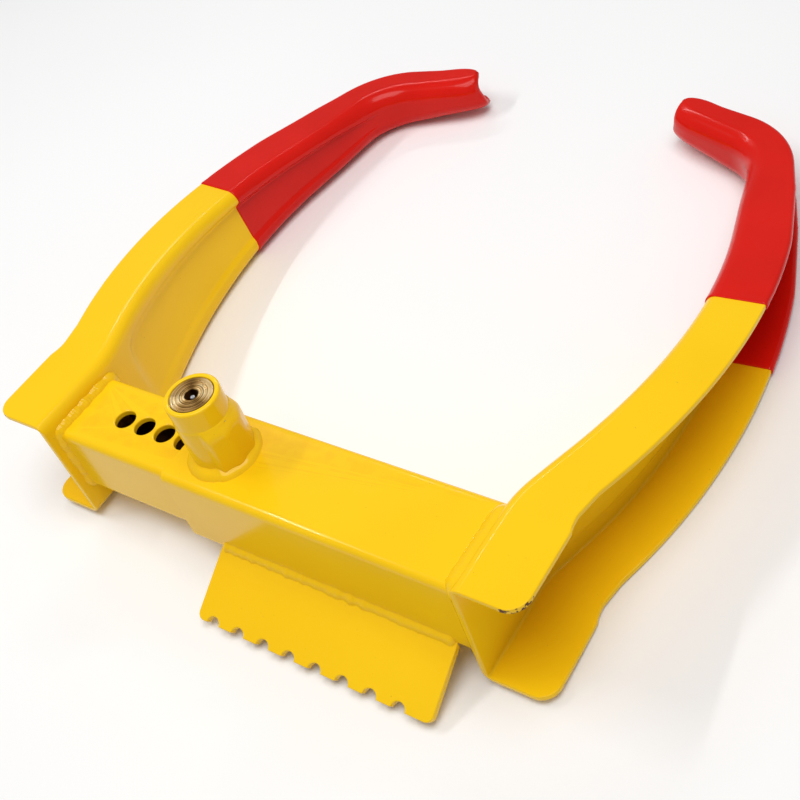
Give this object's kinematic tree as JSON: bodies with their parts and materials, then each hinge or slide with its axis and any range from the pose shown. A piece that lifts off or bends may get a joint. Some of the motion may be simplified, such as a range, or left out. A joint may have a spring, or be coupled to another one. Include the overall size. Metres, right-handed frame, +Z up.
{
  "type": "trailer wheel clamp lock",
  "caption": "Adjustable wheel clamp: hooked channel arms close round a trailer tyre, a telescoping tube sets the width, a key-driven bolt locks it, a toothed plate chocks the wheel.",
  "frame": {"origin": "on the ground, under the middle of the clamp's bounding box, with the clamp lying as it rests", "axes": "+X across the wheel along the tubes towards the fixed arm, +Y from the tubes towards the hooked ends of the arms, +Z up"},
  "size_m": [0.3724, 0.3958, 0.1117],
  "materials": {
    "yellow_paint": "glossy powder coat over steel",
    "red_dip": "glossy dipped vinyl coating",
    "brass": "turned, lightly tarnished",
    "steel": "machined, plated",
    "hardened_steel": "hardened, ground",
    "spring_steel": "drawn wire"
  },
  "bodies": {
    "fixed_side": {"outer_tube": "yellow_paint", "right_arm": "yellow_paint", "right_arm_coating": "red_dip", "right_arm_weld": "yellow_paint", "chock_plate": "yellow_paint", "chock_plate_weld": "yellow_paint", "lock_barrel": "yellow_paint", "lock_barrel_weld": "yellow_paint", "lock_cylinder": "brass", "cylinder_retaining_pin": "steel", "driver_pins": "steel", "tumbler_springs": "spring_steel", "guide_bush": "steel"},
    "sliding_side": {"inner_tube": "yellow_paint", "left_arm": "yellow_paint", "left_arm_coating": "red_dip", "left_arm_weld": "yellow_paint"},
    "key_plug": {"lock_plug": "brass", "plug_centre_pin": "steel", "key_pins": "brass", "plug_clip": "spring_steel", "cam_sleeve": "steel"},
    "bolt": {"locking_bolt": "hardened_steel", "bolt_cross_pin": "hardened_steel", "bolt_spring": "spring_steel"}
  },
  "joints": [
    {"name": "width_slide", "type": "slide", "parent": "fixed_side", "child": "sliding_side", "axis": [-1, 0, 0], "range_m": [-0.072, 0.0576]},
    {"name": "plug_turn", "type": "hinge", "parent": "fixed_side", "child": "key_plug", "pos_m": [-0.024, -0.12998, 0.10246], "axis": [0, -0.0894, -0.996], "range_deg": [0, 90]},
    {"name": "bolt_slide", "type": "slide", "parent": "fixed_side", "child": "bolt", "axis": [0, -0.0894, -0.996], "range_m": [0, 0.011], "deforming": ["bolt_spring"]}
  ],
  "couplings": [
    {"joint": "bolt_slide", "follows": "plug_turn", "m_per_rad": 0.007}
  ]
}
